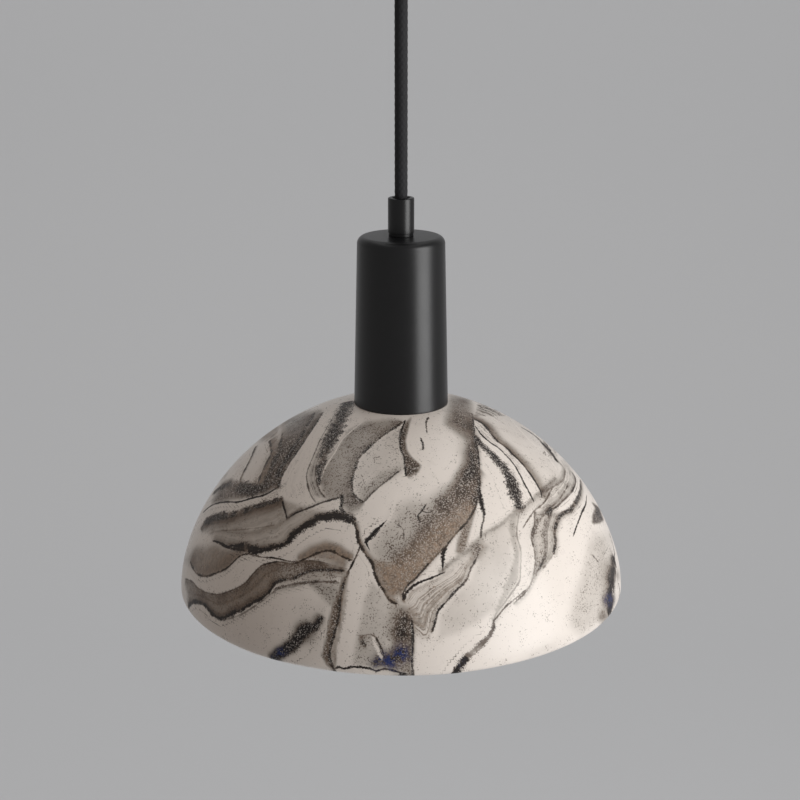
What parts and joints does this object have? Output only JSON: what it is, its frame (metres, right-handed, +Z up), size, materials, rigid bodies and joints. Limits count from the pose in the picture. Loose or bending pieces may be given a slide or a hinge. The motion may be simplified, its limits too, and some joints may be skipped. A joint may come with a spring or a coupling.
{
  "type": "pendant light",
  "caption": "Pendant light with a marbled ceramic dome shade clamped under a slim black metal cup, on a fabric-covered cord from a round ceiling canopy.",
  "frame": {"origin": "middle of the ceiling face, halfway between the two fixing slots of the mounting strap", "axes": "+Z up into the ceiling along the cord; +X along the mounting strap; the pictured side faces -Y"},
  "size_m": [0.212, 0.212, 0.3215],
  "materials": {
    "black_metal": "satin powder coat",
    "zinc_steel": "satin zinc plate",
    "green_screw": "green lacquer",
    "brass": "satin",
    "nickel": "satin",
    "solder": "satin",
    "copper": "satin",
    "nylon": "matte",
    "cord_fabric": "braided",
    "brown_pvc": "smooth",
    "white_pvc": "smooth",
    "green_pvc": "smooth",
    "phenolic": "satin",
    "stoneware": "satin glaze over marbled clay",
    "silicone": "matte",
    "opal_glass": "satin opal",
    "black_glass": "gloss"
  },
  "bodies": {
    "ceiling_mount": {"mounting_strap": "zinc_steel", "earth_screw": "green_screw", "terminal_block": "nylon", "terminal_tubes": "brass", "terminal_clamp_screws": "zinc_steel", "block_screws": "zinc_steel", "canopy": "black_metal", "canopy_screws": "black_metal", "canopy_grip": "black_metal", "canopy_grip_clamp_screw": "black_metal", "canopy_grip_washer": "zinc_steel", "canopy_grip_nut": "brass", "cord_head": "cord_fabric", "canopy_live_wire": "brown_pvc", "canopy_neutral_wire": "white_pvc", "canopy_earth_wire": "green_pvc"},
    "cord": {"cord": "cord_fabric"},
    "pendant": {"cup_grip": "black_metal", "cup_grip_clamp_screw": "black_metal", "socket_cup": "black_metal", "cup_washer": "zinc_steel", "cup_nut": "brass", "holder_carrier": "zinc_steel", "carrier_screws": "zinc_steel", "carrier_earth_screw": "green_screw", "cord_tail": "cord_fabric", "live_wire": "brown_pvc", "neutral_wire": "white_pvc", "earth_wire": "green_pvc", "stripped_ends": "copper", "lampholder_body": "phenolic", "screw_shell": "nickel", "centre_contact": "brass", "live_terminal": "brass", "neutral_terminal": "nickel", "holder_terminal_screws": "brass"},
    "shade": {"shade": "stoneware", "shade_gasket": "silicone"},
    "shade_ring": {"shade_ring": "phenolic"},
    "bulb_core": {"bulb_base_insulator": "black_glass", "bulb_contact": "solder"},
    "bulb": {"bulb_glass": "opal_glass", "bulb_screw_base": "nickel"}
  },
  "joints": [
    {"name": "swing_side", "type": "hinge", "parent": "ceiling_mount", "child": "cord", "pos_m": [0, 0, -0.0405], "axis": [0, 1, 0], "range_deg": [-15, 15]},
    {"name": "tilt", "type": "hinge", "parent": "cord", "child": "pendant", "pos_m": [0, 0, -0.1365], "axis": [1, 0, 0], "range_deg": [-15, 15]},
    {"name": "shade_drop", "type": "slide", "parent": "pendant", "child": "shade", "axis": [0, 0, -1], "range_m": [0, 0.0075]},
    {"name": "ring_turn", "type": "hinge", "parent": "shade", "child": "shade_ring", "pos_m": [0, 0, -0.243], "axis": [0, 0, -1], "range_deg": [0, 1080]},
    {"name": "bulb_draw", "type": "slide", "parent": "pendant", "child": "bulb_core", "axis": [0, 0, -1], "range_m": [0, 0.02177]},
    {"name": "bulb_turn", "type": "hinge", "parent": "bulb_core", "child": "bulb", "pos_m": [0, 0, -0.24], "axis": [0, 0, -1], "range_deg": [0, 2160]}
  ],
  "couplings": [
    {"joint": "ring_turn", "follows": "shade_drop", "rad_per_m": 2513.3},
    {"joint": "bulb_turn", "follows": "bulb_draw", "rad_per_m": 1731.4}
  ]
}
